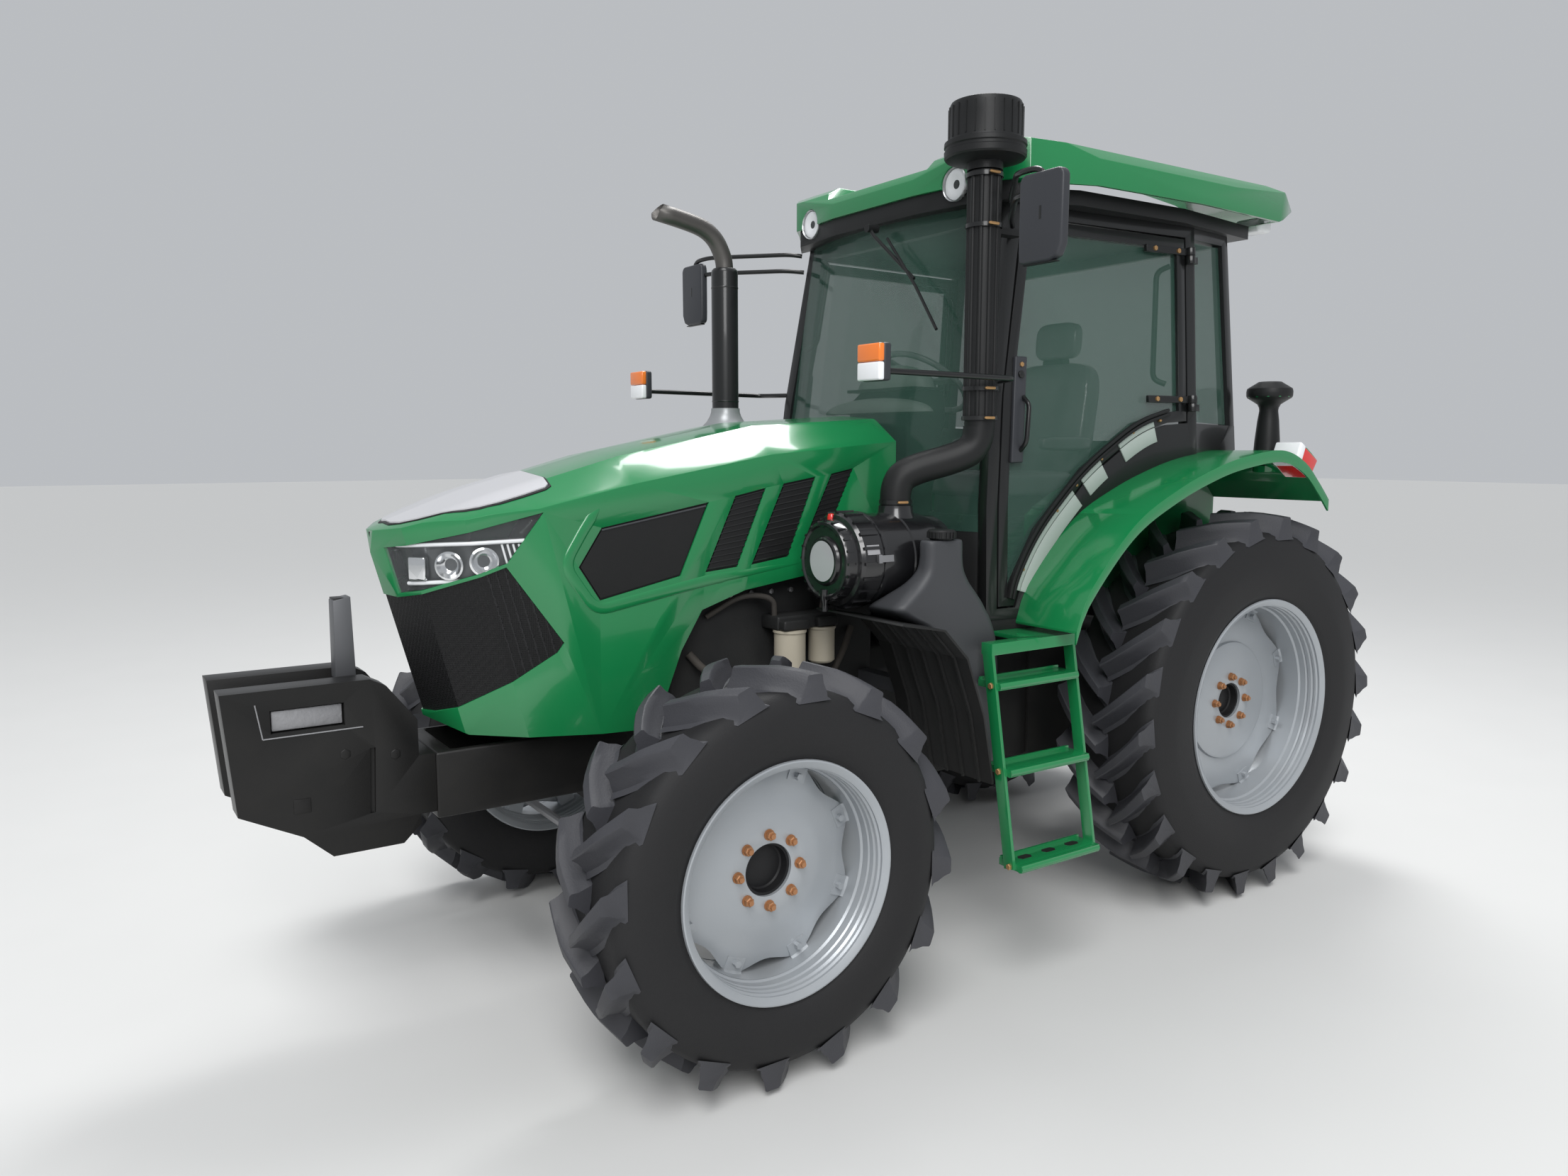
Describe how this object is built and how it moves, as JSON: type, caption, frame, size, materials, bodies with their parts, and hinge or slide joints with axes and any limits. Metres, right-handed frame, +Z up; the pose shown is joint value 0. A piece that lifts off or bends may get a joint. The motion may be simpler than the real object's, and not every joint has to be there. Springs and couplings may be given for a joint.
{
  "type": "farm tractor",
  "caption": "Four-wheel-drive farm tractor with cab, high-lug tyres, front ballast and rear three-point hitch.",
  "frame": {"origin": "on the ground below the middle of the tractor's length and width", "axes": "+X forward, +Y to the tractor's left, +Z up"},
  "size_m": [4.78, 2.34, 3.012],
  "materials": {
    "paint": "gloss",
    "dark_paint": "satin",
    "rim_paint": "satin",
    "tyre": "matte",
    "cast": "matte",
    "plastic": "matte",
    "lamp": "gloss",
    "glass": "gloss",
    "steel": "satin",
    "seat": "matte"
  },
  "bodies": {
    "chassis": {"air_cleaner": "plastic", "battery_box": "plastic", "cab_floor": "dark_paint", "cab_frame": "dark_paint", "engine": "cast", "fender_left": "paint", "fender_right": "paint", "front_axle": "cast", "front_ballast": "cast", "front_frame": "cast", "fuel_tank": "plastic", "gearbox": "cast", "hood_support": "dark_paint", "intake_pipe": "plastic", "ladder_left": "paint", "ladder_right": "paint", "marker_left": "plastic", "marker_right": "plastic", "mirror_left": "plastic", "mirror_right": "plastic", "mudguard_left": "plastic", "mudguard_right": "plastic", "precleaner": "plastic", "quarter_glass_left": "glass", "quarter_glass_right": "glass", "rear_housing": "cast", "rear_window": "glass", "roof": "paint", "roof_lining": "plastic", "seat": "seat", "steering_column": "plastic", "windscreen": "glass"},
    "hood": {"hood": "paint", "grille": "plastic", "exhaust_stack": "steel", "headlamp_left": "lamp", "headlamp_right": "lamp", "vents_left": "plastic", "vents_right": "plastic"},
    "lift_arms": {"lift_arm_left": "steel", "lift_arm_right": "steel"},
    "lift_rods": {"lift_rod_left": "steel", "lift_rod_right": "steel"},
    "door_left": {"door_left": "dark_paint", "door_glass_left": "glass"},
    "door_right": {"door_right": "dark_paint", "door_glass_right": "glass"},
    "knuckle_left": {"knuckle_left": "cast"},
    "knuckle_right": {"knuckle_right": "cast"},
    "wheel_front_left": {"tyre_front_left": "tyre", "rim_front_left": "rim_paint"},
    "wheel_front_right": {"tyre_front_right": "tyre", "rim_front_right": "rim_paint"},
    "wheel_rear_left": {"tyre_rear_left": "tyre", "rim_rear_left": "rim_paint"},
    "wheel_rear_right": {"tyre_rear_right": "tyre", "rim_rear_right": "rim_paint"},
    "tie_rod": {"tie_rod": "steel"},
    "lower_links": {"lower_links": "steel"}
  },
  "joints": [
    {"name": "steer_left", "type": "hinge", "parent": "chassis", "child": "knuckle_left", "pos_m": [1.06, 0.65, 0.62], "axis": [0, 0, 1], "range_deg": [-35, 35]},
    {"name": "steer_right", "type": "hinge", "parent": "chassis", "child": "knuckle_right", "pos_m": [1.06, -0.65, 0.62], "axis": [0, 0, 1], "range_deg": [-35, 35]},
    {"name": "tie_rod_pin", "type": "hinge", "parent": "knuckle_left", "child": "tie_rod", "pos_m": [1.275, 0.65, 0.508], "axis": [0, 0, 1], "range_deg": [-35, 35]},
    {"name": "wheel_front_left_spin", "type": "hinge", "parent": "knuckle_left", "child": "wheel_front_left", "pos_m": [1.06, 0.89, 0.62], "axis": [0, 1, 0], "continuous": true},
    {"name": "wheel_front_right_spin", "type": "hinge", "parent": "knuckle_right", "child": "wheel_front_right", "pos_m": [1.06, -0.89, 0.62], "axis": [0, 1, 0], "continuous": true},
    {"name": "wheel_rear_left_spin", "type": "hinge", "parent": "chassis", "child": "wheel_rear_left", "pos_m": [-1.34, 0.74, 0.795], "axis": [0, 1, 0], "continuous": true},
    {"name": "wheel_rear_right_spin", "type": "hinge", "parent": "chassis", "child": "wheel_rear_right", "pos_m": [-1.34, -0.74, 0.795], "axis": [0, 1, 0], "continuous": true},
    {"name": "door_left_hinge", "type": "hinge", "parent": "chassis", "child": "door_left", "pos_m": [-1.06231, 0.74022, 2.03952], "axis": [-0.0046, -0.0696, 0.9976], "range_deg": [0, 65]},
    {"name": "door_right_hinge", "type": "hinge", "parent": "chassis", "child": "door_right", "pos_m": [-1.06231, -0.74022, 2.03952], "axis": [0.0046, -0.0696, -0.9976], "range_deg": [0, 65]},
    {"name": "hood_hinge", "type": "hinge", "parent": "chassis", "child": "hood", "pos_m": [0.172, 0, 1.9], "axis": [0, -1, 0], "range_deg": [0, 30]},
    {"name": "lower_link_lift", "type": "hinge", "parent": "chassis", "child": "lower_links", "pos_m": [-1.56, 0, 0.56], "axis": [0, 1, 0], "range_deg": [-8, 25]},
    {"name": "lift_arm_turn", "type": "hinge", "parent": "chassis", "child": "lift_arms", "pos_m": [-1.56, 0, 1.085], "axis": [0, 1, 0], "range_deg": [-8.8, 27]},
    {"name": "lift_rod_pin", "type": "hinge", "parent": "lift_arms", "child": "lift_rods", "pos_m": [-1.93, 0, 1.065], "axis": [0, 1, 0], "range_deg": [-27, 8.8]}
  ],
  "couplings": [
    {"joint": "steer_right", "follows": "steer_left", "ratio": 1},
    {"joint": "tie_rod_pin", "follows": "steer_left", "ratio": -1},
    {"joint": "lift_arm_turn", "follows": "lower_link_lift", "ratio": 1.07},
    {"joint": "lift_rod_pin", "follows": "lower_link_lift", "ratio": -1.07}
  ]
}
